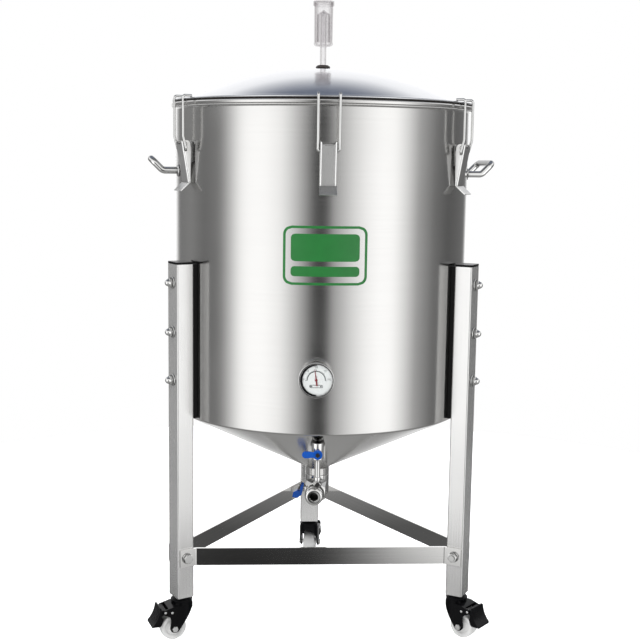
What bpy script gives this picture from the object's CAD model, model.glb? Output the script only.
"""Looks of the conical fermenter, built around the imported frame.

Metres, +Z up.  A piece that sits out on the tank or the stand is modelled with +X pointing away
from the tank's axis, and its object is then turned to its azimuth about +Z.
"""

from math import asin, cos, hypot, pi, radians, sin, sqrt, tan

import bmesh
import bpy
from mathutils import Matrix, Vector


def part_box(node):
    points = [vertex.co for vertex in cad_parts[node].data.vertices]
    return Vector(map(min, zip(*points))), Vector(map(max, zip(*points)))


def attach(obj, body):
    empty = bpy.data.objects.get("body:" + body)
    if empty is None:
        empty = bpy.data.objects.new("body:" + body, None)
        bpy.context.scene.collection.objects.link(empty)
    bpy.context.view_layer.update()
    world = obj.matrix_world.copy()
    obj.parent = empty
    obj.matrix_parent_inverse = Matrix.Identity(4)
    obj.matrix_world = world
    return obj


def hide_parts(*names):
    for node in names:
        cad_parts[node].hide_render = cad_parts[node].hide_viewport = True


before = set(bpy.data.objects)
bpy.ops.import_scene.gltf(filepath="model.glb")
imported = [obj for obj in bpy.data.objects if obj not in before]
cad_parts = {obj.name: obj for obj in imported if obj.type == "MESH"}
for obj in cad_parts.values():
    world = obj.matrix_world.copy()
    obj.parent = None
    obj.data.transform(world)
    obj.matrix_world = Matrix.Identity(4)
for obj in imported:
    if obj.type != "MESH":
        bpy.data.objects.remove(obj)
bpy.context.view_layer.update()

GAP = 0.0003

# Places that come from the frame
TANK_LOW, TANK_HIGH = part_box("tank")
AXIS = Vector(((TANK_LOW.x + TANK_HIGH.x) / 2, (TANK_LOW.y + TANK_HIGH.y) / 2, 0))
TANK_TOP = TANK_HIGH.z
RIM_RADIUS = (TANK_HIGH.x - TANK_LOW.x) / 2
LEG_BOTTOM, LEG_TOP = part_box("leg_1")[0].z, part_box("leg_1")[1].z
FLANGE_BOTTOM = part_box("lid")[0].z
STEM_END, CUP_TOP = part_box("airlock_body")[0].z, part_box("airlock_body")[1].z
CAP_BOTTOM, CAP_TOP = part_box("airlock_cap")[0].z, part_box("airlock_cap")[1].z

# Tank and lid
TANK_RADIUS = 0.225
SHEET = 0.0015
CYLINDER_BOTTOM = 0.337
CONE_SLOPE = 0.497
CONE_APEX = 0.2256
DRAIN_RADIUS = 0.019
DRAIN_END = 0.2225
FLANGE_TOP = 0.8095
DOME_RADIUS = 0.209
DOME_HEIGHT = 0.0515
LID_HOLE_RADIUS = 0.0085
ROUND = 192                     # facets of the largest turned pieces

# Airlock
STEM_RADIUS = 0.0048
CUP_BOTTOM = 0.8955
CUP_RADIUS = 0.0145
TUBE_TOP = 0.9423
CAP_RADIUS = 0.016
FLOAT_RADIUS = 0.01025

# Latches
LATCH_AZIMUTHS = (-91, -32, 29, 89, 149, 208)
LATCH_OUT = TANK_RADIUS + 0.0115
LATCH_HEIGHT = 0.743
BAIL_DROP = 0.0085
BAIL_OUT = 0.0053
BAIL_SPREAD = 0.01485
BAIL_WIRE = 0.0018
BAIL_HOOK_REACH = 0.0135
BAIL_KNEE = 0.0195
LEVER_WIDTH = 0.024

# Carry handles
HANDLE_AZIMUTH = 4.6
HANDLE_ROD = 0.005
HANDLE_HALF_WIDTH = 0.040
HANDLE_ARM_HEIGHT = 0.704
HANDLE_GRIP_HEIGHT = 0.721
HANDLE_REACH = 0.037

# Stand
LEG_AZIMUTHS = (90, 210, 330)
LEG_RADIUS = 0.2435
LEG_DEPTH = 0.0265
LEG_WIDTH = 0.032
LEG_WALL = 0.0015
STUD_HEIGHTS = (0.543, 0.4705, 0.399)
BRACE_HEIGHT = 0.0265
BRACE_THICKNESS = 0.004
BRACE_MIDDLE = 0.129

# Casters
CASTER_SWIVEL = -11
WHEEL_RADIUS = 0.0195
WHEEL_WIDTH = 0.0215
CASTER_TRAIL = 0.0145
FORK_GAP = 0.0140
FORK_SHEET = 0.0028
FORK_ROOF = 0.0545
PEDAL_PIVOT = (0.0289, 0.0465)
SPRING_PIN = (0.0186, 0.0452)
PEDAL_REACH = 0.0492

# Instruments and valves
FRONT_AZIMUTH = -94
DIAL_HEIGHT = 0.421
DIAL_FRONT = 0.246
BEZEL_RADIUS = 0.025
NEEDLE_REST = 8
RACKING_AZIMUTH = -93.2
PORT_HEIGHT = 0.317
PORT_END = 0.200
RACKING_OUT = 0.2125
RACKING_BALL_HEIGHT = 0.3105
RACKING_BOTTOM = 0.258
DUMP_AZIMUTH = -97
DUMP_AXIS_HEIGHT = 0.2035
DUMP_BALL_OUT = 0.036
DUMP_END = 0.075
DUMP_STEM_TILT = 12


# ---------------------------------------------------------------- node materials

def new_material(name):
    made = bpy.data.materials.new(name)
    made.use_nodes = True
    return made, made.node_tree, made.node_tree.nodes["Principled BSDF"]


def add_node(tree, kind, **inputs):
    node = tree.nodes.new(kind)
    for key, value in inputs.items():
        node.inputs[key.replace("_", " ")].default_value = value
    return node


def streaks(tree, stretch, detail=3.0):
    """A noise on the object's own coordinates, drawn out by unequal scales."""
    place = tree.nodes.new("ShaderNodeTexCoord")
    scale = add_node(tree, "ShaderNodeMapping", Scale=stretch)
    noise = add_node(tree, "ShaderNodeTexNoise", Scale=1.0, Detail=detail, Roughness=0.6)
    tree.links.new(place.outputs["Object"], scale.inputs["Vector"])
    tree.links.new(scale.outputs["Vector"], noise.inputs["Vector"])
    return noise.outputs["Fac"]


def value_node(tree, operation, *values):
    node = tree.nodes.new("ShaderNodeMath")
    node.operation = operation
    for socket, value in zip(node.inputs, values):
        if isinstance(value, (int, float)):
            socket.default_value = value
        else:
            tree.links.new(value, socket)
    return node.outputs["Value"]


def ranged(tree, value, low, high, start=0.25, end=0.75):
    remap = add_node(tree, "ShaderNodeMapRange")
    for key, number in (("From Min", start), ("From Max", end), ("To Min", low), ("To Max", high)):
        remap.inputs[key].default_value = number
    tree.links.new(value, remap.inputs["Value"])
    return remap.outputs["Result"]


def tinted(tree, value, dark, light):
    """A colour that runs from dark to light with the value."""
    mix = tree.nodes.new("ShaderNodeMix")
    mix.data_type = "RGBA"
    mix.inputs[6].default_value = (*dark, 1)
    mix.inputs[7].default_value = (*light, 1)
    tree.links.new(value, mix.inputs[0])
    return mix.outputs[2]


def bumped(tree, shader, value, strength, distance):
    bump = add_node(tree, "ShaderNodeBump", Strength=strength, Distance=distance)
    tree.links.new(value, bump.inputs["Height"])
    tree.links.new(bump.outputs["Normal"], shader.inputs["Normal"])


def shaded(tree, colour, hollow, edge):
    """The colour, darker in narrow hollows and where the surface turns edge-on."""
    shelter = add_node(tree, "ShaderNodeAmbientOcclusion", Distance=0.006)
    shelter.samples = 6
    weight = add_node(tree, "ShaderNodeLayerWeight", Blend=0.5)
    share = value_node(tree, "MULTIPLY", ranged(tree, shelter.outputs["AO"], hollow, 1, 0.30, 0.90),
                       ranged(tree, weight.outputs["Facing"], 1, edge, 0.38, 0.82))
    scale = tree.nodes.new("ShaderNodeVectorMath")
    scale.operation = "SCALE"
    tree.links.new(colour, scale.inputs[0])
    tree.links.new(share, scale.inputs["Scale"])
    return scale.outputs["Vector"]


def steel(name, tone, roughness, grain, streak=0.05, spread=0.05, relief=0.00002, bare=1.0, shade=None):
    """Bare metal with drawn-out polishing lines and a faint cloudiness from handling."""
    made, tree, shader = new_material(name)
    lines = streaks(tree, grain)
    clouds = streaks(tree, (9, 9, 9), 2.0)
    light = [min(1.0, c * (1 + streak)) for c in tone]
    dark = [c * (1 - streak) for c in tone]
    colour = tinted(tree, ranged(tree, lines, 0, 1), dark, light)
    if shade:
        colour = shaded(tree, colour, *shade)
    tree.links.new(colour, shader.inputs["Base Color"])
    blur = value_node(tree, "ADD", ranged(tree, lines, roughness - spread, roughness + spread),
                      ranged(tree, clouds, -0.02, 0.03))
    tree.links.new(blur, shader.inputs["Roughness"])
    shader.inputs["Metallic"].default_value = bare
    bumped(tree, shader, lines, 0.25, relief)
    return made


def moulded(name, colour, roughness, grain, relief, wear=0.10, shine=0.5):
    """Plastic, rubber or paint with a fine moulded grain and slightly uneven colour."""
    made, tree, shader = new_material(name)
    patches = streaks(tree, (60, 60, 60), 2.0)
    texture = streaks(tree, (grain, grain, grain), 4.0)
    dark = [c * (1 - wear) for c in colour]
    light = [min(1.0, c * (1 + wear)) for c in colour]
    tree.links.new(tinted(tree, ranged(tree, patches, 0, 1), dark, light), shader.inputs["Base Color"])
    spread = ranged(tree, texture, roughness - 0.04, roughness + 0.06)
    tree.links.new(spread, shader.inputs["Roughness"])
    shader.inputs["Specular IOR Level"].default_value = shine
    bumped(tree, shader, texture, 0.3, relief)
    return made


def clear(name, face_on, edge_on, shine):
    """Thin clear plastic: what is behind shows through, and its edges turn grey."""
    made, tree, shader = new_material(name)
    tree.nodes.remove(shader)
    output = tree.nodes["Material Output"]
    weight = add_node(tree, "ShaderNodeLayerWeight", Blend=0.35)
    ripple = streaks(tree, (400, 400, 90), 2.0)
    tint = tinted(tree, weight.outputs["Facing"], face_on, edge_on)
    through = tree.nodes.new("ShaderNodeBsdfTransparent")
    gloss = add_node(tree, "ShaderNodeBsdfGlossy", Roughness=0.08)
    bumped(tree, gloss, ripple, 0.2, 0.0002)
    mix = tree.nodes.new("ShaderNodeMixShader")
    tree.links.new(tint, through.inputs["Color"])
    tree.links.new(ranged(tree, weight.outputs["Facing"], shine, 4 * shine, 0, 1), mix.inputs["Fac"])
    tree.links.new(through.outputs[0], mix.inputs[1])
    tree.links.new(gloss.outputs[0], mix.inputs[2])
    tree.links.new(mix.outputs[0], output.inputs["Surface"])
    return made


def half_shade(name, dark, light):
    """A bezel's inner wall, painted dark on its -Y side to stand for a reflection."""
    made, tree, shader = new_material(name)
    parts = tree.nodes.new("ShaderNodeSeparateXYZ")
    tree.links.new(tree.nodes.new("ShaderNodeTexCoord").outputs["Object"], parts.inputs[0])
    waver = ranged(tree, streaks(tree, (200, 200, 200), 2.0), -0.0006, 0.0006, 0, 1)
    across = value_node(tree, "ADD", parts.outputs["Y"], waver)
    colour = tinted(tree, ranged(tree, across, 0, 1, -0.0005, 0.0015), dark, light)
    tree.links.new(colour, shader.inputs["Base Color"])
    shader.inputs["Roughness"].default_value = 0.4
    shader.inputs["Specular IOR Level"].default_value = 0.2
    return made


LOOKS = {
    "tank_steel": steel("tank_steel", (0.62, 0.615, 0.605), 0.165, (6, 6, 520), 0.018, 0.010, 0.000003),
    "lid_steel": steel("lid_steel", (0.70, 0.71, 0.73), 0.14, (30, 30, 30), 0.03, 0.02),
    "leg_steel": steel("leg_steel", (0.64, 0.637, 0.63), 0.20, (900, 900, 8), 0.04, 0.03, 0.000008, 0.82),
    "brace_steel": steel("brace_steel", (0.92, 0.915, 0.90), 0.07, (10, 10, 1100), 0.04, 0.015, 0.000006),
    "bright_steel": steel("bright_steel", (0.80, 0.80, 0.79), 0.08, (350, 350, 350), 0.03, 0.02, 0.000004,
                          shade=(0.20, 0.16)),
    "lever_steel": steel("lever_steel", (0.88, 0.88, 0.87), 0.30, (800, 800, 500), 0.05, 0.04, 0.000003,
                         shade=(0.10, 0.60)),
    "zinc": steel("zinc", (0.92, 0.92, 0.91), 0.36, (500, 500, 500), 0.06, 0.06, 0.00001),
    "black_plastic": moulded("black_plastic", (0.003, 0.003, 0.0035), 0.26, 2500, 0.00003, shine=0.09),
    "black_paint": moulded("black_paint", (0.002, 0.002, 0.0025), 0.16, 1500, 0.00002, shine=0.11),
    "white_nylon": moulded("white_nylon", (0.50, 0.50, 0.495), 0.38, 1800, 0.00004, 0.02),
    "blue_vinyl": moulded("blue_vinyl", (0.002, 0.058, 0.31), 0.22, 1600, 0.00006, 0.12),
    "dark_silicone": moulded("dark_silicone", (0.022, 0.017, 0.015), 0.45, 1200, 0.00005),
    "dial_white": moulded("dial_white", (0.70, 0.715, 0.71), 0.45, 3000, 0.00001, 0.015),
    "dial_ink": moulded("dial_ink", (0.11, 0.12, 0.12), 0.50, 3000, 0.00001, 0.10),
    "needle_red": moulded("needle_red", (0.20, 0.020, 0.028), 0.38, 2000, 0.00001, 0.08),
    "label_green": moulded("label_green", (0.007, 0.118, 0.020), 0.36, 900, 0.00002, 0.06),
    "clear_plastic": clear("clear_plastic", (0.965, 0.962, 0.964), (0.74, 0.725, 0.73), 0.030),
    "bore_steel": steel("bore_steel", (0.10, 0.10, 0.10), 0.35, (300, 300, 300)),
    "black_rubber": moulded("black_rubber", (0.004, 0.004, 0.004), 0.60, 900, 0.00004, shine=0.15),
    "shade_ring": half_shade("shade_ring", (0.006, 0.006, 0.007), (0.55, 0.56, 0.56)),
    "lens_glass": clear("lens_glass", (0.99, 0.99, 0.99), (0.75, 0.77, 0.76), 0.02),
}


# ---------------------------------------------------------------- tools for shapes

def new_object(data, name="work"):
    obj = bpy.data.objects.new(name, data)
    bpy.context.scene.collection.objects.link(obj)
    return obj


def baked(obj, weld=1e-6):
    """The object's mesh with its modifiers applied; the object itself goes."""
    bpy.context.view_layer.update()
    graph = bpy.context.evaluated_depsgraph_get()
    mesh = bpy.data.meshes.new_from_object(obj.evaluated_get(graph))
    shape = bmesh.new()
    shape.from_mesh(mesh)
    bmesh.ops.remove_doubles(shape, verts=shape.verts, dist=weld)
    bmesh.ops.dissolve_degenerate(shape, edges=shape.edges, dist=weld)
    bmesh.ops.recalc_face_normals(shape, faces=shape.faces)
    shape.to_mesh(mesh)
    shape.free()
    bpy.data.objects.remove(obj, do_unlink=True)
    return mesh


def turned(profile, segments=64):
    """A mesh turned about Z from (radius, height) points that run down its outer side."""
    count = len(profile)
    edges = [(i, i + 1) for i in range(count - 1)]
    if profile[0][0] > 0:
        edges.append((count - 1, 0))
    mesh = bpy.data.meshes.new("profile")
    mesh.from_pydata([(r, 0, z) for r, z in profile], edges, [])
    obj = new_object(mesh)
    screw = obj.modifiers.new("Turn", "SCREW")
    screw.steps = screw.render_steps = segments
    screw.use_merge_vertices = True
    screw.merge_threshold = 1e-5
    return baked(obj)


def prism(outlines, thickness):
    """A plate in the XY plane, centred on Z = 0; outlines after the first are holes."""
    curve = bpy.data.curves.new("outline", "CURVE")
    curve.dimensions = "2D"
    curve.fill_mode = "BOTH"
    curve.extrude = thickness / 2
    for outline in outlines:
        spline = curve.splines.new("POLY")
        spline.points.add(len(outline) - 1)
        for point, (x, y) in zip(spline.points, outline):
            point.co = (x, y, 0, 1)
        spline.use_cyclic_u = True
    return baked(new_object(curve))


def side_plate(outline, thickness, middle=0.0):
    """A plate whose outline is in the XZ plane, centred on Y = middle."""
    upright = Matrix.Translation((0, middle, 0)) @ Matrix.Rotation(pi / 2, 4, "X")
    return moved(prism([outline], thickness), upright)


def wire(points, radius, resolution=5):
    """A round wire with flat ends through the points."""
    curve = bpy.data.curves.new("wire", "CURVE")
    curve.dimensions = "3D"
    curve.bevel_depth = radius
    curve.bevel_resolution = resolution
    curve.use_fill_caps = True
    spline = curve.splines.new("POLY")
    spline.points.add(len(points) - 1)
    for point, spot in zip(spline.points, points):
        point.co = (*spot, 1)
    return baked(new_object(curve))


def block(size, middle=(0, 0, 0)):
    mesh = bpy.data.meshes.new("block")
    shape = bmesh.new()
    bmesh.ops.create_cube(shape, size=1, matrix=Matrix.Translation(middle) @ Matrix.Diagonal((*size, 1)))
    shape.to_mesh(mesh)
    shape.free()
    return mesh


def cylinder(radius, start, end, segments=40, turn=0.0):
    """A cylinder from start to end, which may point any way."""
    start, end = Vector(start), Vector(end)
    along = end - start
    aim = along.to_track_quat("Z", "Y").to_matrix().to_4x4()
    matrix = Matrix.Translation((start + end) / 2) @ aim @ Matrix.Rotation(turn, 4, "Z")
    mesh = bpy.data.meshes.new("cylinder")
    shape = bmesh.new()
    bmesh.ops.create_cone(shape, cap_ends=True, segments=segments, radius1=radius, radius2=radius,
                          depth=along.length, matrix=matrix)
    shape.to_mesh(mesh)
    shape.free()
    return mesh


def hex_nut(flats, low, high, chamfer=0.0006, turn=0.0):
    """A hexagon about Z whose corners are turned down at both ends."""
    corner = flats / sqrt(3)
    body = cylinder(corner, (0, 0, low), (0, 0, high), 6, turn)
    trim = turned([(0, high), (flats / 2 - chamfer / 2, high), (corner + 0.0002, high - 2 * chamfer),
                   (corner + 0.0002, low + 2 * chamfer), (flats / 2 - chamfer / 2, low), (0, low)], 48)
    return combined(body, [trim], "INTERSECT")


def moved(mesh, matrix):
    mesh.transform(matrix)
    return mesh


def shifted(mesh, x=0.0, y=0.0, z=0.0):
    return moved(mesh, Matrix.Translation((x, y, z)))


def facing_out(mesh):
    """Turn a shape made about +Z so that it is about +X."""
    return moved(mesh, Matrix.Rotation(pi / 2, 4, "Y"))


def aimed(mesh, middle, way):
    """Move a shape made about +Z so that it starts at middle and points along way."""
    turn = Vector(way).to_track_quat("Z", "Y").to_matrix().to_4x4()
    return moved(mesh, Matrix.Translation(middle) @ turn)


def combined(mesh, others, operation):
    obj = new_object(mesh)
    helpers = [new_object(other) for other in others]
    for helper in helpers:
        boolean = obj.modifiers.new("Combine", "BOOLEAN")
        boolean.operation = operation
        boolean.solver = "EXACT"
        boolean.object = helper
    result = baked(obj)
    for helper in helpers:
        bpy.data.objects.remove(helper, do_unlink=True)
    return result


def fused(mesh, *others):
    return combined(mesh, others, "UNION")


def cut(mesh, *cutters):
    return combined(mesh, cutters, "DIFFERENCE")


def softened(mesh, width, segments=2, angle=32):
    """The mesh with its edges rounded over."""
    obj = new_object(mesh)
    bevel = obj.modifiers.new("Soften", "BEVEL")
    bevel.width = width
    bevel.segments = segments
    bevel.limit_method = "ANGLE"
    bevel.angle_limit = radians(angle)
    bevel.use_clamp_overlap = True
    bevel.miter_outer = "MITER_ARC"
    return baked(obj, 1e-7)


def arc(middle, radius, start, end, steps):
    """Points on an arc in a plane, angles in degrees."""
    angles = [radians(start + (end - start) * i / steps) for i in range(steps + 1)]
    return [(middle[0] + radius * cos(a), middle[1] + radius * sin(a)) for a in angles]


def bent(corners, radius, steps=8):
    """A path in space through the corners, with each inner corner rounded."""
    points = [Vector(p) for p in corners]
    path = [points[0]]
    for before, corner, after in zip(points, points[1:], points[2:]):
        back, ahead = (before - corner).normalized(), (after - corner).normalized()
        half = back.angle(ahead) / 2
        middle = corner + (back + ahead).normalized() * (radius / sin(half))
        start = corner + back * (radius / tan(half)) - middle
        end = corner + ahead * (radius / tan(half)) - middle
        start, end = start.normalized(), end.normalized()
        path += [middle + start.slerp(end, i / steps) * radius for i in range(steps + 1)]
    return path + [points[-1]]


def strip(points, thickness):
    """The outline of a flat bar's edge that follows a centre line in a plane."""
    left, right = [], []
    line = [Vector(p) for p in points]
    for i, point in enumerate(line):
        before = (point - line[i - 1]).normalized() if i else (line[1] - point).normalized()
        after = (line[i + 1] - point).normalized() if i + 1 < len(line) else before
        mitre = (before + after).normalized()
        side = Vector((-mitre.y, mitre.x)) * (thickness / 2 / mitre.dot(before))
        left.append(tuple(point + side))
        right.append(tuple(point - side))
    return left + right[::-1]


def rounded_rectangle(width, height, radius, steps=6):
    points = []
    for turn, (sx, sy) in zip((0, 90, 180, 270), ((1, 1), (-1, 1), (-1, -1), (1, -1))):
        middle = (sx * (width / 2 - radius), sy * (height / 2 - radius))
        points += arc(middle, radius, turn, turn + 90, steps)
    return points


def rectangle(width, height):
    return [(sx * width / 2, sy * height / 2) for sx, sy in ((1, 1), (-1, 1), (-1, -1), (1, -1))]


def placed(azimuth=0.0, out=0.0, height=0.0, swivel=0.0, trail=0.0):
    """The matrix that takes a shape made about its own place out to the tank or the stand."""
    way, turn = radians(azimuth), radians(azimuth + swivel)
    x, y = out * cos(way) + trail * cos(turn), out * sin(way) + trail * sin(turn)
    return Matrix.Translation((AXIS.x + x, AXIS.y + y, height)) @ Matrix.Rotation(turn, 4, "Z")


def piece(name, mesh, look, body="root", stands_for=(), at=None, sharp=32):
    """Make a named piece that rides on a body and stands for CAD nodes."""
    mesh.shade_smooth()
    mesh.set_sharp_from_angle(angle=radians(sharp))
    mesh.materials.clear()
    mesh.materials.append(LOOKS[look])
    obj = new_object(mesh, name)
    obj.matrix_world = placed() if at is None else at
    obj.modifiers.new("Smooth", "WEIGHTED_NORMAL").keep_sharp = True
    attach(obj, body)
    if stands_for:
        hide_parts(*stands_for)
    return obj


def dressed(node, look, edge=0.0):
    """Give a CAD node its look, with welded seams and rounded edges."""
    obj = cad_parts[node]
    for slot in obj.material_slots:
        slot.material = LOOKS[look]
    obj.modifiers.new("Join", "WELD").merge_threshold = 1e-5
    if edge:
        bevel = obj.modifiers.new("Soften", "BEVEL")
        bevel.width = edge
        bevel.segments = 2
        bevel.angle_limit = radians(35)
    obj.modifiers.new("Smooth", "WEIGHTED_NORMAL").keep_sharp = True


# ---------------------------------------------------------------- tank and lid

def cone_height(radius):
    return CONE_APEX + CONE_SLOPE * radius


def tank():
    """Rolled rim with a lower roll, wall, cone and drain stub."""
    inside = TANK_RADIUS - SHEET
    rise = SHEET * hypot(1, CONE_SLOPE)
    bore = DRAIN_RADIUS - SHEET
    soft = 0.0022
    rim = arc((RIM_RADIUS - soft, TANK_TOP - soft), soft, 90, 0, 6)
    rim += arc((RIM_RADIUS - 0.0012, TANK_TOP - 0.0046), 0.0012, 0, -90, 4)
    rim += arc((RIM_RADIUS - 0.0018, TANK_TOP - 0.0072), 0.0013, 80, -90, 7)
    rim += [(TANK_RADIUS + 0.0012, TANK_TOP - 0.0086), (TANK_RADIUS, TANK_TOP - 0.0098)]
    corner = arc((TANK_RADIUS - 0.004, CYLINDER_BOTTOM + 0.0034), 0.004, 0, -63, 6)
    neck_radius = DRAIN_RADIUS + 0.003
    neck = [(neck_radius, cone_height(neck_radius)), (DRAIN_RADIUS, cone_height(DRAIN_RADIUS) - 0.002)]
    cone = [(r, cone_height(r)) for r in (0.21, 0.17, 0.12, 0.07)]
    outer = rim + [(TANK_RADIUS, 0.65), (TANK_RADIUS, 0.50)] + corner + cone + neck
    inner = [(DRAIN_RADIUS, DRAIN_END), (bore, DRAIN_END), (bore, cone_height(bore) + rise),
             (inside - 0.002, cone_height(inside - 0.002) + rise), (inside, CYLINDER_BOTTOM + 0.004),
             (inside, TANK_TOP)]
    piece("tank_shell", turned(outer + inner, ROUND), "tank_steel", stands_for=("tank",), sharp=40)
    boss = turned([(0.0125, -0.030), (0.0085, -0.0045), (0.0080, -0.0030), (0.0080, -0.0006),
                   (0.0074, 0), (0.0030, 0), (0.0030, -0.030)][::-1], 40)
    at = placed(RACKING_AZIMUTH, PORT_END, PORT_HEIGHT)
    piece("racking_port_boss", facing_out(boss), "bright_steel", at=at)


def dome_height(radius):
    return FLANGE_TOP + DOME_HEIGHT * (1 - (radius / DOME_RADIUS) ** 2)


def lid():
    rings = 26
    top = [LID_HOLE_RADIUS + (DOME_RADIUS - 0.0015 - LID_HOLE_RADIUS) * i / rings for i in range(rings + 1)]
    outer = [(r, dome_height(r)) for r in top]
    flange = [(DOME_RADIUS + 0.0002, FLANGE_TOP + 0.0003), (DOME_RADIUS + 0.0020, FLANGE_TOP)]
    middle = (FLANGE_TOP + FLANGE_BOTTOM) / 2
    edge = (FLANGE_TOP - FLANGE_BOTTOM) / 2
    flange += arc((RIM_RADIUS - edge, middle), edge, 90, -90, 8)
    inner = [(r - 0.0006, dome_height(r) - SHEET) for r in reversed(top[1:-1:3])]
    inner.append((LID_HOLE_RADIUS, dome_height(LID_HOLE_RADIUS) - SHEET))
    profile = outer + flange + [(DOME_RADIUS - 0.004, FLANGE_BOTTOM)] + inner
    piece("lid_dome", turned(profile, ROUND), "lid_steel", stands_for=("lid",), sharp=40)


def lid_gasket():
    outside, inside = RIM_RADIUS - 0.0025, TANK_RADIUS - 0.0005
    top, bottom = FLANGE_BOTTOM - GAP, TANK_TOP + GAP
    bulge = [(outside - 0.0004, top), (outside, (top + bottom) / 2), (outside - 0.0004, bottom)]
    ring = turned(bulge + [(inside, bottom), (inside, top)], ROUND)
    piece("lid_seal", ring, "dark_silicone", stands_for=("lid_gasket",))


def airlock_grommet():
    top = dome_height(LID_HOLE_RADIUS)
    lip, neck, bore = 0.011, LID_HOLE_RADIUS - 0.0005, STEM_RADIUS + 0.0004
    profile = arc((0.0072, top + 0.0044), 0.0016, 100, 55, 5)
    profile += arc((lip - 0.0023, top + 0.0026), 0.0023, 45, -90, 10)
    profile += [(neck, top + GAP), (neck, top - SHEET - 2 * GAP), (lip, top - SHEET - 2 * GAP)]
    profile += [(lip - 0.002, top - SHEET - 0.004), (bore, top - SHEET - 0.004), (bore, top + 0.0056)]
    piece("airlock_seal", turned(profile, 64), "dark_silicone", stands_for=("airlock_grommet",))


# ---------------------------------------------------------------- airlock

def airlock():
    wall, floor = 0.0012, 0.0015
    bore, foot = STEM_RADIUS - wall, CUP_RADIUS - 0.002
    cup = [(CUP_RADIUS, CUP_TOP - 0.0004), (CUP_RADIUS - 0.0005, CUP_BOTTOM + 0.006)]
    cup += arc((foot - 0.0015, CUP_BOTTOM + 0.0035), 0.0035, 0, -90, 6)
    cup += [(STEM_RADIUS + 0.0016, CUP_BOTTOM), (STEM_RADIUS, CUP_BOTTOM - 0.0020)]
    cup += [(STEM_RADIUS, STEM_END + 0.0006), (STEM_RADIUS - 0.0004, STEM_END), (bore, STEM_END)]
    cup += [(bore, TUBE_TOP), (STEM_RADIUS - 0.0003, TUBE_TOP), (STEM_RADIUS, TUBE_TOP - 0.0005)]
    cup += [(STEM_RADIUS, CUP_BOTTOM + floor), (foot - 0.0020, CUP_BOTTOM + floor)]
    cup += [(CUP_RADIUS - 0.0006 - wall, CUP_BOTTOM + 0.0055), (CUP_RADIUS - wall, CUP_TOP - 0.0004)]
    cup += [(CUP_RADIUS - wall / 2, CUP_TOP)]
    piece("airlock_cup", turned(cup, 64), "clear_plastic", "airlock_body", ("airlock_body",))

    thin, inner_top, bottom = 0.001, TUBE_TOP + 2 * GAP, CUP_BOTTOM + 0.006
    bell = [(0, inner_top + 0.0069), (0.0012, inner_top + 0.0062), (0.0043, inner_top + 0.0037)]
    bell += [(0.0052, inner_top + 0.0032), (FLOAT_RADIUS - 0.0020, inner_top + 0.0012)]
    bell += arc((FLOAT_RADIUS - 0.0016, inner_top - 0.0009), 0.0016, 60, 0, 4)
    bell += [(FLOAT_RADIUS, bottom + 0.0003), (FLOAT_RADIUS - 0.0003, bottom), (FLOAT_RADIUS - thin, bottom)]
    bell += [(FLOAT_RADIUS - thin, inner_top - 0.001), (0.004, inner_top + 0.002), (0, inner_top + 0.0048)]
    piece("airlock_bell", turned(bell, 64), "clear_plastic", "airlock_float", ("airlock_float",))

    skirt, ceiling, soft = CUP_RADIUS + 0.0004, CUP_TOP + 2 * GAP, 0.0008
    lid_profile = [(0, CAP_TOP - 0.0003), (0.010, CAP_TOP - 0.0003), (0.011, CAP_TOP)]
    lid_profile += arc((CAP_RADIUS - soft, CAP_TOP - soft), soft, 90, 0, 4)
    lid_profile += [(CAP_RADIUS, CAP_BOTTOM + 0.0003), (CAP_RADIUS - 0.0003, CAP_BOTTOM)]
    lid_profile += [(skirt, CAP_BOTTOM), (skirt, ceiling), (0, ceiling)]
    piece("airlock_cover", turned(lid_profile, 64), "clear_plastic", "airlock_cap", ("airlock_cap",))


# ---------------------------------------------------------------- latches and carry handles

def latch_lever():
    """A folded channel that tapers to a flared thumb tab, with a window at its top."""
    sheet = 0.0012
    top, bottom = (0.0060, 0.0038), (-0.0045, -0.0553)
    outline = [
        top, bottom, (0.0080, -0.0667), (0.0071, -0.0675), (-0.0057, -0.0568),
        (-0.0076, -0.0548), (-0.0085, -0.0120),
    ] + arc((-0.0012, -0.0012), 0.0066, 180, 60, 8)
    inside = [
        (top[0] - sheet, 0.0080), (bottom[0] - sheet, -0.0548), (bottom[0] - sheet, -0.0578),
        (-0.0120, -0.0578), (-0.0120, 0.0080),
    ]
    half, radius, spare = LEVER_WIDTH / 2, 0.0030, 0.002
    corner = [(spare, half + spare), (-radius, half + spare)] + arc((-radius, half - radius), radius, 90, 0, 6)
    corner.append((spare, half - radius))
    other = [(x, -y) for x, y in reversed(corner)]
    lean = Matrix.Identity(4)
    lean[0][2] = (top[0] - bottom[0]) / (top[1] - bottom[1])
    lean[0][3] = top[0] - lean[0][2] * top[1]
    length = 0.0080 - bottom[1]
    edges = [moved(shifted(prism([line], length), z=0.0080 - length / 2), lean) for line in (corner, other)]
    channel = softened(cut(side_plate(outline, LEVER_WIDTH), *edges), 0.0004, 2, 50)
    hollow = softened(side_plate(inside, LEVER_WIDTH - 2 * sheet), 0.0006, 2, 50)
    window = aimed(prism([rounded_rectangle(0.0190, 0.0150, 0.0045)], 0.006), (0.006, 0, 0.0070), (1, 0, 0))
    holes = [cylinder(0.0025, (0, -0.02, 0), (0, 0.02, 0), 24),
             cylinder(BAIL_WIRE + 0.0005, (0, -0.02, -BAIL_DROP), (0, 0.02, -BAIL_DROP), 24)]
    return cut(channel, hollow, window, *holes)


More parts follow.
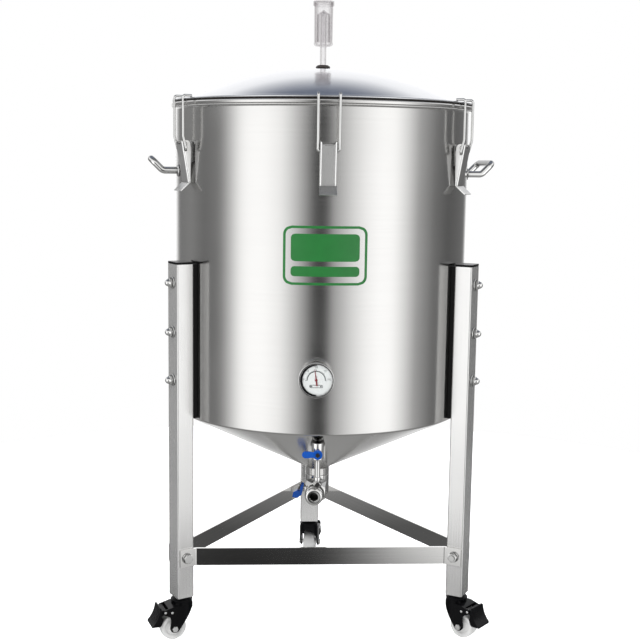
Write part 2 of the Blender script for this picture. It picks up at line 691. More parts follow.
def latches():
    hook = FLANGE_TOP + GAP + BAIL_WIRE - (LATCH_HEIGHT - BAIL_DROP)
    half = [(BAIL_OUT - BAIL_HOOK_REACH, hook), (BAIL_OUT, hook), (BAIL_OUT, BAIL_KNEE), (0, 0)]
    corners = [(x, BAIL_SPREAD, z) for x, z in half] + [(x, -BAIL_SPREAD, z) for x, z in reversed(half)]
    bail, lever = wire(bent(corners, 0.0035), BAIL_WIRE), latch_lever()
    for i, azimuth in enumerate(LATCH_AZIMUTHS, 1):
        dressed(f"latch_bracket_{i}", "bright_steel", 0.0003)
        at = placed(azimuth, LATCH_OUT, LATCH_HEIGHT)
        piece(f"latch_plate_{i}", lever.copy(), "lever_steel", f"latch_lever_{i}", (f"latch_lever_{i}",), at)
        at = placed(azimuth, LATCH_OUT, LATCH_HEIGHT - BAIL_DROP)
        piece(f"latch_wire_{i}", bail.copy(), "bright_steel", f"latch_bail_{i}", (f"latch_bail_{i}",), at)


def carry_handles():
    """Bent rods whose ends are welded to two round pads each."""
    face = TANK_RADIUS + GAP
    arm_start = sqrt(face ** 2 - HANDLE_HALF_WIDTH ** 2) + 0.001
    rise = HANDLE_GRIP_HEIGHT - HANDLE_ARM_HEIGHT
    grip = TANK_RADIUS + HANDLE_REACH
    half = [(arm_start, HANDLE_ARM_HEIGHT), (grip - rise, HANDLE_ARM_HEIGHT), (grip, HANDLE_GRIP_HEIGHT)]
    corners = [(x, HANDLE_HALF_WIDTH, z) for x, z in half]
    corners += [(x, -HANDLE_HALF_WIDTH, z) for x, z in reversed(half)]
    parts = []
    for side in (-1, 1):
        profile = [(0, 0.0024), (0.0055, 0.0024), (0.0066, 0.0016), (0.0084, 0.0016), (0.0090, 0.0010),
                   (0.0090, 0), (0, 0)]
        pad = shifted(facing_out(turned(profile, 48)), face, 0, HANDLE_ARM_HEIGHT)
        parts.append(moved(pad, Matrix.Rotation(side * HANDLE_HALF_WIDTH / TANK_RADIUS, 4, "Z")))
    mesh = fused(wire(bent(corners, 0.009, 10), HANDLE_ROD, 7), *parts)
    for side, turn in (("right", 0), ("left", 180)):
        at = placed(HANDLE_AZIMUTH + turn)
        piece(f"handle_{side}", mesh.copy(), "bright_steel", stands_for=(f"carry_handle_{side}",), at=at)


# ---------------------------------------------------------------- stand

def leg():
    """A box tube with rounded corners and a bored plate in its foot."""
    inner = rounded_rectangle(LEG_DEPTH - 2 * LEG_WALL, LEG_WIDTH - 2 * LEG_WALL, 0.001, 3)
    outer = rounded_rectangle(LEG_DEPTH, LEG_WIDTH, 0.0024)
    tube = shifted(prism([outer, inner], LEG_TOP - LEG_BOTTOM), z=(LEG_TOP + LEG_BOTTOM) / 2)
    foot = block((LEG_DEPTH - LEG_WALL, LEG_WIDTH - LEG_WALL, 0.003), (0, 0, LEG_BOTTOM + 0.0015))
    return softened(fused(tube, foot), 0.0003, 2, 60)


def leg_cap():
    """A plastic end cap with a slightly pillowed top."""
    outline = rounded_rectangle(LEG_DEPTH, LEG_WIDTH, 0.0024)
    top = softened(shifted(prism([outline], 0.003), z=LEG_TOP + GAP + 0.0015), 0.0010, 4, 60)
    inset = 2 * (LEG_WALL + 0.0004)
    plug = block((LEG_DEPTH - inset, LEG_WIDTH - inset, 0.012), (0, 0, LEG_TOP - 0.0055))
    return fused(top, plug)


def dome_nut(outer_face):
    """An acorn nut on its washer, about +X."""
    washer = turned([(0, 0.0014), (0.0080, 0.0014), (0.0085, 0.0010), (0.0085, 0), (0, 0)], 40)
    base = hex_nut(0.0118, 0.0013, 0.0062, 0.0005)
    crown = turned([(0, 0.0115)] + arc((0, 0.0062), 0.0053, 80, 0, 8) + [(0.0053, 0.0050), (0, 0.0050)], 40)
    return shifted(facing_out(fused(washer, base, crown)), outer_face)


def leg_studs():
    """A strip behind the leg and three dome nuts outside it, on one stud each."""
    outer_face, strip_out = LEG_DEPTH / 2 + GAP, -LEG_DEPTH / 2 - GAP
    strip_in = TANK_RADIUS + GAP - LEG_RADIUS
    middle = (STUD_HEIGHTS[0] + STUD_HEIGHTS[-1]) / 2
    length = STUD_HEIGHTS[0] - STUD_HEIGHTS[-1] + 0.044
    bar = block((strip_out - strip_in - 0.0012, 0.014, length), ((strip_out + strip_in) / 2, 0, middle))
    studs = []
    nut = dome_nut(outer_face)
    for height in STUD_HEIGHTS:
        shaft = cylinder(0.004, (strip_out - 0.001, 0, height), (outer_face + 0.002, 0, height), 24)
        studs += [shifted(nut.copy(), z=height), shaft]
    return fused(softened(bar, 0.0006), *studs)


def leg_pad():
    """A dark strip as wide as the leg that fills the space between it and the tank's wall."""
    lean = asin((LEG_WIDTH / 2) / TANK_RADIUS)
    near = TANK_RADIUS + 0.0002
    inner = [(near * cos(a) - LEG_RADIUS, near * sin(a)) for a in (lean * (i / 6 - 1) for i in range(13))]
    outer = -LEG_DEPTH / 2 - 0.0001
    low, high = CYLINDER_BOTTOM + 0.004, LEG_TOP
    outline = inner + [(outer, LEG_WIDTH / 2), (outer, -LEG_WIDTH / 2)]
    return softened(shifted(prism([outline], high - low), z=(high + low) / 2), 0.0004, 2, 60)


def brace():
    """A flat bar between two legs, its ends bent to lie on the legs' sides."""
    turn = radians(-30)
    away = Vector((cos(turn), sin(turn)))
    side = Vector((sin(turn), -cos(turn)))
    on_face = away * LEG_RADIUS + side * (LEG_WIDTH / 2 + GAP + BRACE_THICKNESS / 2)
    tab_end = on_face + away * 0.0115
    bend = on_face - away * 0.0150
    flat = [(-tab_end.x, tab_end.y, 0), (-bend.x, bend.y, 0), (*bend, 0), (*tab_end, 0)]
    line = [tuple(p)[:2] for p in bent(flat, 0.006, 6)]
    bar = prism([strip(line, BRACE_THICKNESS)], BRACE_HEIGHT)
    return softened(shifted(bar, z=BRACE_MIDDLE), 0.0005, 3, 50)


def brace_bolt():
    """A bolt with washers and its nut, through a leg and the two tabs on it."""
    seat = LEG_WIDTH / 2 + BRACE_THICKNESS + 2 * GAP
    reach = seat + 0.008
    washer = [(0, 0.0012), (0.0078, 0.0012), (0.0083, 0.0008), (0.0083, 0), (0, 0)]
    head = [turned(washer, 40), hex_nut(0.013, 0.0010, 0.0053, 0.0006, 0.3)]
    nut = [turned(washer, 40), hex_nut(0.013, 0.0010, 0.0065, 0.0006, 0.8)]
    shaft = cylinder(0.004, (0, -reach, 0), (0, seat + 0.001, 0), 24)
    parts = [aimed(part, (0, seat, 0), (0, 1, 0)) for part in head]
    parts += [aimed(part, (0, -seat, 0), (0, -1, 0)) for part in nut]
    return shifted(fused(shaft, *parts), z=BRACE_MIDDLE)


def stand():
    pad = leg_pad()
    parts = (("leg", "leg_tube", leg(), "leg_steel"), ("leg_cap", "leg_plug", leg_cap(), "black_plastic"),
             ("leg_studs", "leg_fixing", leg_studs(), "bright_steel"),
             ("brace_bolt", "brace_fixing", brace_bolt(), "bright_steel"))
    for i, azimuth in enumerate(LEG_AZIMUTHS, 1):
        piece(f"leg_pad_{i}", pad.copy(), "black_rubber", at=placed(azimuth, LEG_RADIUS))
        for node, name, mesh, look in parts:
            at = placed(azimuth, LEG_RADIUS)
            piece(f"{name}_{i}", mesh.copy(), look, stands_for=(f"{node}_{i}",), at=at)
    bar = brace()
    for i in range(3):
        node, at = f"brace_{i + 1}", placed(i * 120)
        piece(f"brace_bar_{i + 1}", bar.copy(), "brace_steel", stands_for=(node,), at=at)


# ---------------------------------------------------------------- casters

def fork_hood():
    """The pressed hood and its two cheeks: one U in plan, trimmed from the side."""
    outside = FORK_GAP + FORK_SHEET
    plan = arc((0, 0), outside, 90, 270, 28) + [(0.036, -outside), (0.036, outside)]
    hollow = arc((0, 0), FORK_GAP, 90, 270, 24) + [(0.050, -FORK_GAP), (0.050, FORK_GAP)]
    inside = FORK_ROOF - 0.0055
    side = [(-0.020, FORK_ROOF + 0.002), (-0.020, 0.0480), (-0.0135, 0.0475), (0.0060, 0.0190)]
    side += arc((0.0140, 0.0212), 0.0078, 200, 350, 16)
    side += [(0.0202, 0.0320), (0.0215, 0.0382), (0.0252, 0.0405)]
    side += arc(PEDAL_PIVOT, 0.0038, -75, 78, 10) + [(0.0150, FORK_ROOF), (0.0100, FORK_ROOF + 0.002)]
    solid = shifted(prism([plan], FORK_ROOF - 0.005), z=(FORK_ROOF + 0.005) / 2)
    trimmed = combined(solid, [side_plate(side, 0.05)], "INTERSECT")
    cavity = shifted(prism([hollow], inside), z=inside / 2)
    tongue_slot = block((0.020, 2 * FORK_GAP, 0.030), (0.0340, 0, 0.050))
    return softened(cut(trimmed, cavity, tongue_slot), 0.0007, 3, 40)


def swivel_race():
    """The pressed ball race above the fork, with its stem."""
    top, low = LEG_BOTTOM - GAP, FORK_ROOF - 0.001
    profile = [(0, LEG_BOTTOM + 0.018), (0.0055, LEG_BOTTOM + 0.018), (0.0055, top), (0.0120, top)]
    profile += arc((0.0120, top - 0.0012), 0.0012, 80, 20, 3) + [(0.0150, 0.0622)]
    profile += arc((0.0150, 0.0604), 0.0015, 60, -30, 5) + [(0.0158, 0.0575), (0.0165, low), (0, low)]
    return turned(profile, 56)


def fork_fixings():
    """Axle bolt, pedal pin and spring pin with their heads."""
    outside = FORK_GAP + FORK_SHEET
    axle = (CASTER_TRAIL, WHEEL_RADIUS)
    parts = []
    for side in (-1, 1):
        tip = cylinder(0.0016, (0, 0, 0), (0, 0, 0.0031), 20)
        nut = fused(hex_nut(0.0080, 0, 0.0029, 0.0004, 0.4 * side), tip)
        parts.append(aimed(nut, (axle[0], side * (outside - 0.0001), axle[1]), (0, side, 0)))
        for x, z in (PEDAL_PIVOT, SPRING_PIN):
            head = turned([(0, 0.0011)] + arc((0, -0.0012), 0.0023, 70, 32, 5) + [(0, 0)], 24)
            parts.append(aimed(head, (x, side * (outside - 0.0001), z), (0, side, 0)))
    shafts = [cylinder(r, (x, -outside, z), (x, outside, z), 20)
              for r, (x, z) in ((0.003, axle), (0.0018, PEDAL_PIVOT), (0.0018, SPRING_PIN))]
    return fused(shafts[0], *shafts[1:], *parts)


def caster_wheel():
    """A moulded wheel with a crowned tread, a dished side and a raised hub, about its axle."""
    bore, half = 0.0034, WHEEL_WIDTH / 2
    side = [(bore, half), (0.0066, half), (0.0070, half - 0.0004), (0.0078, half - 0.0026)]
    side += [(0.0115, half - 0.0030), (0.0122, half - 0.0022), (0.0136, half - 0.0012), (0.0162, half - 0.0008)]
    side += arc((WHEEL_RADIUS - 0.0030, half - 0.0032), 0.0026, 70, 10, 5)
    side += [(WHEEL_RADIUS - 0.0001, half - 0.0055), (WHEEL_RADIUS, half - 0.0080)]
    profile = side + [(r, -z) for r, z in reversed(side)]
    return moved(turned(profile, 72), Matrix.Rotation(pi / 2, 4, "X"))


def caster_pedal():
    """A ribbed foot pedal on the fork's pin, about that pin."""
    tongue = arc(PEDAL_PIVOT, 0.0036, 90, 270, 12) + [(0.0370, 0.0380), (0.0370, 0.0490)]
    high, waist, low = Vector((0.0372, 0.0528)), Vector((0.0385, 0.0375)), Vector((0.0486, 0.0272))
    front = [high.lerp(waist, i / 10).lerp(waist.lerp(low, i / 10), i / 10) for i in range(11)]
    pedal = arc((0.0361, 0.0529), 0.0011, 180, 20, 6) + [tuple(point) for point in front]
    pedal += arc((PEDAL_REACH - 0.0017, 0.0257), 0.0017, 30, -80, 6) + [(0.0420, 0.0243)]
    pedal += arc((0.0382, 0.0268), 0.0022, -80, -160, 5)
    pedal += [(0.0340, 0.0310), (0.0325, 0.0355), (0.0342, 0.0400),
              (0.0342, 0.0480)]
    width = 2 * (FORK_GAP + FORK_SHEET)
    inner = side_plate(tongue, 2 * (FORK_GAP - 0.0006))
    front_view = shifted(dial_face(prism([rounded_rectangle(width, 0.0298, 0.0045)], 0.04)), x=0.040, z=0.0391)
    outer = softened(combined(side_plate(pedal, width), [front_view], "INTERSECT"), 0.0009, 3, 50)
    ribs = []
    for i in range(4):
        x, z = front[3 + i]
        ribs.append(cylinder(0.0007, (x, 0.006 - width / 2, z), (x, width / 2 - 0.006, z), 12))
    pivot_out, pivot_height = PEDAL_PIVOT
    hole = cylinder(0.0028, (pivot_out, -0.02, pivot_height), (pivot_out, 0.02, pivot_height), 24)
    mesh = cut(fused(inner, outer, *ribs), hole)
    return shifted(mesh, x=-PEDAL_PIVOT[0], z=-PEDAL_PIVOT[1])


def casters():
    hood, race, fixings = fork_hood(), swivel_race(), fork_fixings()
    wheel, pedal = caster_wheel(), caster_pedal()
    for i, azimuth in enumerate(LEG_AZIMUTHS, 1):
        fork = f"caster_fork_{i}"
        at = placed(azimuth, LEG_RADIUS, 0, CASTER_SWIVEL)
        piece(f"caster_hood_{i}", hood.copy(), "black_paint", fork, (fork,), at)
        piece(f"caster_race_{i}", race.copy(), "black_paint", fork, at=at)
        piece(f"caster_fixings_{i}", fixings.copy(), "zinc", fork, at=at)
        at = placed(azimuth, LEG_RADIUS, WHEEL_RADIUS, CASTER_SWIVEL, CASTER_TRAIL)
        node = f"caster_wheel_{i}"
        piece(f"caster_roller_{i}", wheel.copy(), "white_nylon", node, (node,), at)
        at = placed(azimuth, LEG_RADIUS, PEDAL_PIVOT[1], CASTER_SWIVEL, PEDAL_PIVOT[0])
        node = f"caster_brake_{i}"
        piece(f"caster_pedal_{i}", pedal.copy(), "black_plastic", node, (node,), at)


# ---------------------------------------------------------------- thermometer

def ring_sector(inner, outer, start, end, steps):
    """The outline of a part of a ring."""
    return arc((0, 0), outer, start, end, steps) + arc((0, 0), inner, end, start, steps)


def joined(meshes):
    """Several closed shapes as one mesh, without cutting them into each other."""
    shape = bmesh.new()
    for mesh in meshes:
        shape.from_mesh(mesh)
    result = bpy.data.meshes.new("joined")
    shape.to_mesh(result)
    shape.free()
    return result


def dial_face(mesh):
    """Turn a drawing made in the XY plane, Y up, so that it faces out along +X."""
    return moved(mesh, Matrix(((0, 0, 1), (1, 0, 0), (0, 1, 0))).to_4x4())


def dial_print():
    """Scale arc, graduation marks and a plain bar, raised by a hair from the dial."""
    depth = 0.0001
    shapes = [prism([ring_sector(0.0118, 0.0132, -2, 182, 48)], depth)]
    for i in range(21):
        angle = -2 + 184 * i / 20
        long = i % 5 == 0
        mark = prism([rectangle(0.0020 if long else 0.0012, 0.0006 if long else 0.0004)], depth)
        mark = shifted(mark, x=0.0132 + (0.0010 if long else 0.00055))
        shapes.append(moved(mark, Matrix.Rotation(radians(angle), 4, "Z")))
    outline = [rounded_rectangle(0.0190, 0.0044, 0.0021, 5), rounded_rectangle(0.0172, 0.0028, 0.0013, 5)]
    shapes.append(shifted(prism(outline, depth), y=-0.0087))
    for x, width in ((-0.0070, 0.0034), (0.0064, 0.0022)):
        shapes.append(shifted(prism([rounded_rectangle(width, 0.0022, 0.0010, 4)], depth), x=x, y=-0.0087))
    return shapes


def dial_numbers():
    shapes = []
    for i, label in enumerate(("100", "75", "50", "25", "0")):
        text = bpy.data.curves.new("number", "FONT")
        text.body = label
        text.size = 0.0038
        text.extrude = 0.00005
        text.align_x = "CENTER"
        text.align_y = "CENTER"
        angle = radians(4 + 172 * i / 4)
        reach = 0.0178
        shapes.append(shifted(baked(new_object(text)), reach * cos(angle), reach * sin(angle)))
    return shapes


def thermometer():
    at = placed(FRONT_AZIMUTH, DIAL_FRONT, DIAL_HEIGHT)
    floor, wall_gap, soft = -0.0045, DIAL_FRONT - TANK_RADIUS - 0.0006, 0.0009
    lip = BEZEL_RADIUS - 0.0025
    case = [(0, floor - 0.003), (0.0012, floor - 0.003), (0.0012, floor), (lip, floor)]
    case += arc((lip + 0.0004, -0.0004), 0.0004, 180, 90, 3)
    case += arc((BEZEL_RADIUS - soft, -soft), soft, 90, 0, 5)
    case += [(BEZEL_RADIUS, -0.0060), (BEZEL_RADIUS - 0.0006, -0.0066), (BEZEL_RADIUS - 0.0006, -0.0080)]
    case += arc((BEZEL_RADIUS - 0.0032, -0.0080), 0.0026, 0, -90, 6)
    case += [(0.0080, -0.0106), (0.0080, -wall_gap), (0.0030, -wall_gap), (0.0030, -0.0850), (0, -0.0865)]
    piece("dial_case", facing_out(turned(case, 96)), "bright_steel", stands_for=("thermometer_case",), at=at)
    front, edge = floor + 0.0011, BEZEL_RADIUS - 0.0028
    plate = turned([(edge, front), (edge, floor + GAP), (0.0012, floor + GAP), (0.0012, front)], 96)
    piece("dial_plate", facing_out(plate), "dial_white", stands_for=("thermometer_dial",), at=at)
    ink = shifted(dial_face(joined(dial_print() + dial_numbers())), x=front + 0.00005)
    piece("dial_scale", ink, "dial_ink", at=at)
    rim = lip - 0.0003
    inside, behind, ahead = rim - 0.0045, front + 0.0001, -0.0020
    ring = turned([(rim, ahead), (rim, behind), (inside, behind), (inside, ahead)], 96)
    ring = cut(ring, cylinder(rim - 0.0017, (0, 0.0013, -0.01), (0, 0.0013, 0.01), 96))
    piece("dial_shade_ring", facing_out(ring), "shade_ring", at=at)
    lens_edge = BEZEL_RADIUS - 0.0026
    lens = turned([(0, -0.0006), (lens_edge * 0.6, -0.0007), (lens_edge, -0.0009),
                   (lens_edge, -0.0016), (0, -0.0016)], 96)
    piece("dial_lens", facing_out(lens), "lens_glass", at=at)
    hub = turned([(0, -0.0018), (0.0014, -0.0018), (0.0018, -0.0021), (0.0018, front + GAP),
                  (0.0008, front + GAP), (0.0008, floor - 0.0025), (0, floor - 0.0025)], 40)
    outline = [(-0.0011, -0.0080), (0.0011, -0.0080), (0.0009, 0.0010), (0.0002, 0.0160), (-0.0002, 0.0160),
               (-0.0009, 0.0010)]
    pointer = shifted(dial_face(prism([outline], 0.0004)), x=-0.0024)
    needle = fused(facing_out(hub), pointer)
    needle = moved(needle, Matrix.Rotation(radians(NEEDLE_REST), 4, "X"))
    piece("dial_needle", needle, "needle_red", "thermometer_needle", ("thermometer_needle",), at)


# ---------------------------------------------------------------- valves

def vinyl_lever(hub, length, width, thickness, hub_start, hole):
    """A dipped grip along -Y from a round hub on the stem, about the stem's axis."""
    half = width / 2
    outline = [(half * 0.9, 0), (-half * 0.9, 0), (-half * 0.8, -length * 0.35)]
    outline += [(-half, -length * 0.6)] + arc((0, half - length), half, 180, 360, 16)
    outline += [(half, -length * 0.6), (half * 0.8, -length * 0.35)]
    plate = moved(prism([outline], thickness), Matrix.Rotation(pi / 2, 4, "Y"))
    middle = hub_start + thickness / 2
    disc = cylinder(hub, (hub_start, 0, 0), (hub_start + thickness, 0, 0), 48)
    bore = cylinder(hole, (hub_start - 0.01, 0, 0), (hub_start + 0.02, 0, 0), 32)
    return cut(softened(fused(shifted(plate, x=middle), disc), thickness * 0.32, 4, 30), bore)


def tilted_fitting(low):
    """The outlet's nut, which is screwed on at a lean."""
    nut = hex_nut(0.0104, -0.0040, 0.0040, 0.0006, 0.0)
    return shifted(moved(nut, Matrix.Rotation(radians(-36), 4, "X")), z=low + 0.0065)


def stepped_lever(hub, width, thickness, hub_start, hole):
    """A dipped grip that steps outward past the stem's nut, about the stem's axis."""
    inner, outer, tip = hub_start, hub_start + thickness, -0.0180
    grip_out = outer + 0.0092
    outline = [(inner, 0.0060), (outer, 0.0060), (outer, -0.0054), (outer + 0.0040, -0.0054),
               (grip_out, -0.0100), (grip_out, tip), (outer + 0.0010, tip), (inner, -0.0110)]
    disc = cylinder(hub, (inner, 0, 0), (outer, 0, 0), 48)
    bore = cylinder(hole, (inner - 0.01, 0, 0), (outer + 0.01, 0, 0), 32)
    return cut(softened(fused(prism([outline], width), disc), 0.0016, 4, 30), bore)


def racking_valve():
    """Elbow, ball housing, outlet tube and fitting below a port on the cone."""
    x, z, low = RACKING_OUT, RACKING_BALL_HEIGHT, RACKING_BOTTOM
    soft = 0.0009
    barrel = [(0, 0.3255)] + arc((0.0086 - soft, 0.3255 - soft), soft, 90, 0, 4)
    barrel += arc((0.0086 - soft, 0.3010 + soft), soft, 0, -90, 4) + [(0.0046, 0.3006), (0.0038, 0.2990)]
    barrel += [(0.0038, low + 0.006), (0, low + 0.006)]
    inlet = [(0, 0.0115), (0.0066, 0.0115), (0.0070, 0.0105), (0.0070, 0.0004), (0.0066, 0), (0, 0)]
    collar = turned([(0, low + 0.0170), (0.0044, low + 0.0170), (0.0048, low + 0.0162), (0.0048, low + 0.0125),
                     (0, low + 0.0100)], 40)
    parts = (shifted(facing_out(turned(inlet, 40)), PORT_END + GAP, 0, PORT_HEIGHT),
             shifted(tilted_fitting(low), x), shifted(collar, x))
    gland = cylinder(0.0042, (x, 0, z), (x + 0.0100, 0, z), 32)
    solid = fused(shifted(turned(barrel, 48), x), *parts, gland)
    bores = (cylinder(0.0018, (x, 0, low - 0.01), (x, 0, z), 24),
             cylinder(0.0021, (x, 0, z), (x + 0.02, 0, z), 24))
    at = placed(RACKING_AZIMUTH)
    piece("racking_body", cut(solid, *bores), "bright_steel", stands_for=("racking_valve_body",), at=at)
    dressed("racking_valve_ball", "bright_steel")
    lever = vinyl_lever(0.0068, 0.0220, 0.0095, 0.0038, 0.0103, 0.0021)
    at = placed(RACKING_AZIMUTH, x, z)
    piece("racking_lever", lever, "blue_vinyl", "racking_valve_handle", ("racking_valve_handle",), at)


def dump_valve():
    """A drain elbow that turns forward into a ball valve with a ringed outlet."""
    z, height = DUMP_AXIS_HEIGHT, DRAIN_END - GAP
    elbow = [(0, height), (DRAIN_RADIUS - 0.0006, height), (DRAIN_RADIUS, height - 0.0006),
             (DRAIN_RADIUS, 0.1960)]
    elbow += arc((DRAIN_RADIUS - 0.0085, 0.1945), 0.0085, -8, -80, 8) + [(0, 0.1850)]
    housing = shifted(facing_out(hex_nut(0.0320, 0, 0.0540, 0.0012, pi / 6)), z=z)
    outlet = [(0, DUMP_END - 0.012), (0.0065, DUMP_END - 0.012), (0.0065, DUMP_END - 0.0008),
              (0.0070, DUMP_END - 0.0002)]
    outlet += arc((0.0140 - 0.0042, DUMP_END - 0.0042), 0.0042, 96, 0, 10)
    outlet += [(0.0140, 0.0674), (0.0134, 0.0668), (0.0134, 0.0656), (0.0140, 0.0650), (0.0140, 0.0606)]
    outlet += [(0.0134, 0.0600), (0.0115, 0.0598), (0.0115, 0.0500), (0, 0.0500)]
    ring = shifted(facing_out(turned(outlet, 56)), z=z)
    tilt = radians(DUMP_STEM_TILT)
    stem_way = Vector((0, -cos(tilt), sin(tilt)))
    middle = Vector((DUMP_BALL_OUT, 0, z))
    gland = cylinder(0.0060, middle, middle + stem_way * 0.0195, 40)
    solid = fused(turned(elbow, 56), housing, ring, gland)
    bores = (cylinder(0.0065, (0.050, 0, z), (DUMP_END - 0.010, 0, z), 40),
             cylinder(0.0031, middle + stem_way * 0.012, middle + stem_way * 0.03, 24))
    at = placed(DUMP_AZIMUTH)
    piece("dump_body", cut(solid, *bores), "bright_steel", stands_for=("dump_valve_body",), at=at)
    liner_end = DUMP_END - 0.0012
    liner = turned([(0.0064, liner_end), (0.0064, 0.0475), (0.0058, 0.0475), (0.0061, liner_end)], 40)
    liner = shifted(facing_out(liner), z=z)
    cap_nut = aimed(hex_nut(0.0084, 0.0250, 0.0274, 0.0004), middle, stem_way)
    piece("dump_stem_nut", cap_nut, "bright_steel", "dump_valve_handle", at=at)
    piece("dump_bore_liner", liner, "black_rubber", at=at)
    dressed("dump_valve_ball", "bore_steel")
    forward = Vector((1, 0, 0))
    aim = Matrix((stem_way, stem_way.cross(forward), -forward)).transposed().to_4x4()
    lever = moved(stepped_lever(0.0075, 0.0120, 0.0045, 0.0198, 0.0030), aim)
    at = placed(DUMP_AZIMUTH, DUMP_BALL_OUT, z)
    piece("dump_lever", lever, "blue_vinyl", "dump_valve_handle", ("dump_valve_handle",), at)


# ---------------------------------------------------------------- plain label

def wall_patch(width, height, corner, azimuth, middle, out, thickness=0.0002):
    """A thin rounded rectangle that lies on the tank's wall."""
    rows, columns = 40, 30
    points = []
    for j in range(rows + 1):
        z = height * (j / rows - 0.5)
        inset = max(0.0, abs(z) - (height / 2 - corner))
        half = width / 2 - corner + sqrt(max(0.0, corner ** 2 - inset ** 2))
        for i in range(columns + 1):
            angle = radians(azimuth) + half * (2 * i / columns - 1) / TANK_RADIUS
            points.append((out * cos(angle), out * sin(angle), middle + z))
    faces = []
    for j in range(rows):
        for i in range(columns):
            start = j * (columns + 1) + i
            faces.append((start, start + 1, start + columns + 2, start + columns + 1))
    mesh = bpy.data.meshes.new("patch")
    mesh.from_pydata(points, [], faces)
    obj = new_object(mesh)
    solid = obj.modifiers.new("Thickness", "SOLIDIFY")
    solid.thickness = thickness
    solid.offset = 1
    return baked(obj)


def label():
    """A generic label: a plain frame with two plain panels and nothing written on it."""
    width, height, line, out = 0.118, 0.082, 0.0035, TANK_RADIUS + 0.0001
    azimuth, middle = -91.5, 0.592
    frame_patch = wall_patch(width, height, 0.012, azimuth, middle, out)
    opening = wall_patch(width - 2 * line, height - 2 * line, 0.009, azimuth, middle, out - 0.001, 0.002)
    piece("plain_label_frame", cut(frame_patch, opening), "label_green")
    inset = 2 * line + 0.004
    upper = wall_patch(width - 2 * inset, 0.038, 0.006, azimuth, middle + 0.011, out)
    lower = wall_patch(width - 2 * inset, 0.014, 0.005, azimuth, middle - 0.022, out)
    piece("plain_label_panel", upper, "label_green")
    piece("plain_label_bar", lower, "label_green")


# ---------------------------------------------------------------- floor, light and camera

# Brightness of the studio around the object at each compass direction, in degrees: two soft boxes
# in front with a dark gap between them, dark sides, and a white wall behind.  They are set by hand
# so that the steel shows the bands wanted, and they are not a measured studio.
PANELS = (
    (-180, 0.25), (-174, 0.38), (-166, 0.80), (-157, 1.40), (-150, 1.58), (-137, 1.58), (-124, 1.38),
    (-115, 0.96), (-106, 0.50), (-98, 0.07), (-91, 0.02), (-87, 0.16), (-84, 0.50), (-77, 0.72),
    (-68, 1.08), (-58, 1.40), (-47, 1.60), (-36, 1.58), (-25, 1.10), (-13, 0.50), (5, 0.22),
    (23, 0.13), (60, 0.20), (75, 1.20), (105, 1.20), (120, 0.22), (146, 0.30), (165, 0.20), (180, 0.25),
)
# The same as the floor shows them to steel that mirrors it
FLOOR_PANELS = (
    (-180, 0.30), (-166, 0.80), (-150, 1.58), (-124, 1.38), (-106, 0.50), (-98, 0.07), (-91, 0.04),
    (-86.5, 0.06), (-85, 0.14), (-82.5, 0.75), (-79, 1.15), (-58, 1.50), (-36, 1.58), (-25, 1.10), (-13, 0.50),
    (5, 0.30), (23, 0.26), (60, 0.34), (75, 1.20), (105, 1.20), (120, 0.36), (165, 0.33), (180, 0.30),
)


def colour_mix(tree, factor, first, second):
    mix = tree.nodes.new("ShaderNodeMix")
    mix.data_type = "RGBA"
    tree.links.new(factor, mix.inputs[0])
    for socket, colour in ((mix.inputs[6], first), (mix.inputs[7], second)):
        if isinstance(colour, tuple):
            socket.default_value = (*colour, 1)
        else:
            tree.links.new(colour, socket)
    return mix.outputs[2]


def panels_seen(tree, way, panels=PANELS):
    """The brightness of the studio in the direction of a vector, and that direction's parts."""
    parts = tree.nodes.new("ShaderNodeSeparateXYZ")
    tree.links.new(way, parts.inputs[0])
    x, y, z = (parts.outputs[key] for key in "XYZ")
    share = value_node(tree, "MULTIPLY_ADD", value_node(tree, "ARCTAN2", y, x), 1 / (2 * pi), 0.5)
    ramp = tree.nodes.new("ShaderNodeValToRGB")
    stops = ramp.color_ramp.elements
    for i, (angle, level) in enumerate(panels):
        position = (angle + 180) / 360
        stop = stops[i] if i < 2 else stops.new(position)
        stop.position = position
        stop.color = (level, level, level, 1)
    tree.links.new(share, ramp.inputs["Fac"])
    return ramp.outputs["Color"], y, z


def studio():
    """White to the eye; in reflections, panels all round, a white band above them and a dark top."""
    world = bpy.data.worlds.new("studio")
    bpy.context.scene.world = world
    world.use_nodes = True
    tree = world.node_tree
    background = tree.nodes["Background"]
    panels, y, z = panels_seen(tree, tree.nodes.new("ShaderNodeTexCoord").outputs["Generated"])
    behind = colour_mix(tree, ranged(tree, z, 0, 1, 0.50, 0.71), (1.15, 1.15, 1.16), (0.175, 0.20, 0.26))
    before = colour_mix(tree, ranged(tree, z, 0, 1, 0.55, 0.80), (1.0, 1.0, 1.0), (0.14, 0.14, 0.14))
    sky = colour_mix(tree, ranged(tree, y, 1, 0, -0.35, 0.20), behind, before)
    around = colour_mix(tree, ranged(tree, z, 0, 1, 0.07, 0.20), panels, sky)
    light_path = tree.nodes.new("ShaderNodeLightPath")
    seen = value_node(tree, "MAXIMUM", light_path.outputs["Is Camera Ray"],
                      light_path.outputs["Is Transmission Ray"])
    tree.links.new(colour_mix(tree, seen, around, (1.0, 1.0, 1.0)), background.inputs["Color"])


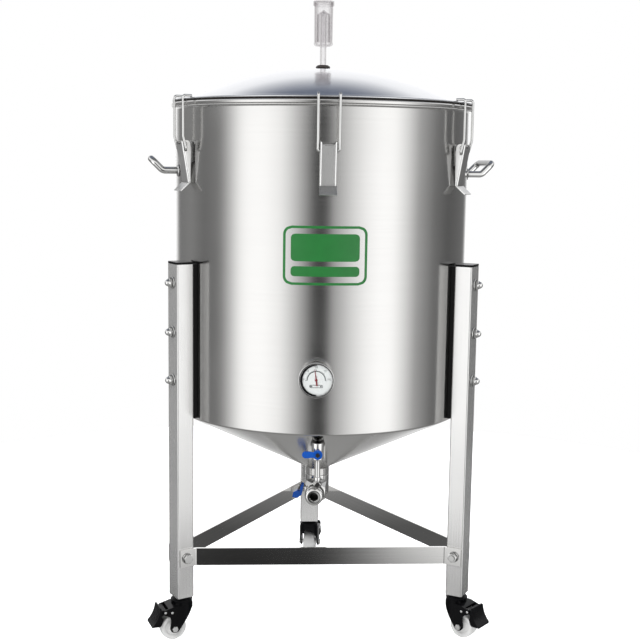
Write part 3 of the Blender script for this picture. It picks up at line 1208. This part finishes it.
def floor():
    """A pale disc that is white to the eye and keeps only soft shadows."""
    mesh = turned([(0, 0), (1.3, 0), (1.3, -0.004), (0, -0.004)], 96)
    obj = new_object(shifted(mesh, z=-0.0002), "floor")
    obj.matrix_world = placed()
    made, tree, shader = new_material("floor")
    output = tree.nodes["Material Output"]
    shader.inputs["Base Color"].default_value = (0.86, 0.86, 0.86, 1)
    shader.inputs["Roughness"].default_value = 0.9
    shader.inputs["Specular IOR Level"].default_value = 0.0
    shader.inputs["Emission Color"].default_value = (1, 1, 1, 1)
    shader.inputs["Emission Strength"].default_value = 0.62
    reflected = add_node(tree, "ShaderNodeEmission")
    ray = tree.nodes.new("ShaderNodeVectorMath")
    ray.operation = "SCALE"
    ray.inputs["Scale"].default_value = -1.0
    tree.links.new(tree.nodes.new("ShaderNodeNewGeometry").outputs["Incoming"], ray.inputs[0])
    panels, y, z = panels_seen(tree, ray.outputs["Vector"], FLOOR_PANELS)
    distance = tree.nodes.new("ShaderNodeVectorMath")
    distance.operation = "LENGTH"
    tree.links.new(tree.nodes.new("ShaderNodeTexCoord").outputs["Object"], distance.inputs[0])
    out = distance.outputs["Value"]
    near = value_node(tree, "MULTIPLY", ranged(tree, out, 1, 0, 0.17, 0.27), ranged(tree, y, 1, 0, -0.4, 0))
    below = ranged(tree, z, 1, 0, -0.62, -0.45)
    fade = ranged(tree, out, 0.26, 0.78, 0.27, 0.65)
    dimmed = tree.nodes.new("ShaderNodeVectorMath")
    dimmed.operation = "SCALE"
    tree.links.new(panels, dimmed.inputs[0])
    tree.links.new(fade, dimmed.inputs["Scale"])
    level = colour_mix(tree, near, dimmed.outputs["Vector"], (0.80, 0.80, 0.80))
    level = colour_mix(tree, below, level, (0.34, 0.34, 0.335))
    tree.links.new(level, reflected.inputs["Color"])
    path = tree.nodes.new("ShaderNodeLightPath")
    mix = tree.nodes.new("ShaderNodeMixShader")
    tree.links.new(path.outputs["Is Glossy Ray"], mix.inputs["Fac"])
    tree.links.new(shader.outputs[0], mix.inputs[1])
    tree.links.new(reflected.outputs[0], mix.inputs[2])
    tree.links.new(mix.outputs[0], output.inputs["Surface"])
    obj.data.materials.append(made)


def lamp(name, place, target, size, power):
    """A soft lamp that lights the dull surfaces and isn't mirrored in the steel."""
    light = bpy.data.lights.new(name, "AREA")
    light.size = size
    light.energy = power
    obj = new_object(light, name)
    way = Vector(target) - Vector(place)
    obj.matrix_world = Matrix.Translation(place) @ way.to_track_quat("-Z", "Y").to_matrix().to_4x4()
    obj.visible_glossy = False
    obj.visible_camera = False


def camera():
    """The viewing angle: in front, a little above the middle, tipped down and slightly rolled."""
    azimuth, distance, height = radians(-93.3), 1.803, 0.724
    pitch, roll, aside = radians(7.98), 0.0143, 0.001
    level = Vector((-cos(azimuth), -sin(azimuth), 0))
    forward = level * cos(pitch) + Vector((0, 0, -sin(pitch)))
    right = Vector((cos(azimuth + pi / 2), sin(azimuth + pi / 2), 0))
    up = right.cross(forward)
    rolled_right = right * cos(roll) + up * sin(roll)
    rolled_up = up * cos(roll) - right * sin(roll)
    data = bpy.data.cameras.new("camera")
    data.lens = 64.58
    data.sensor_width = 36
    obj = new_object(data, "camera")
    turn = Matrix((rolled_right, rolled_up, -forward)).transposed().to_4x4()
    place = AXIS + Vector((cos(azimuth), sin(azimuth), 0)) * distance + right * aside + Vector((0, 0, height))
    obj.matrix_world = Matrix.Translation(place) @ turn
    bpy.context.scene.camera = obj


tank()
lid()
lid_gasket()
airlock_grommet()
airlock()
latches()
carry_handles()
stand()
casters()
thermometer()
racking_valve()
dump_valve()
label()
studio()
floor()
lamp("key", (-0.9, -1.5, 2.0), (0, 0, 0.3), 1.4, 40)
lamp("top", (0.3, 0.2, 2.4), (0, 0, 0), 2.0, 55)
camera()
bpy.context.scene.view_settings.view_transform = "Standard"
bpy.context.scene.cycles.transparent_max_bounces = 48
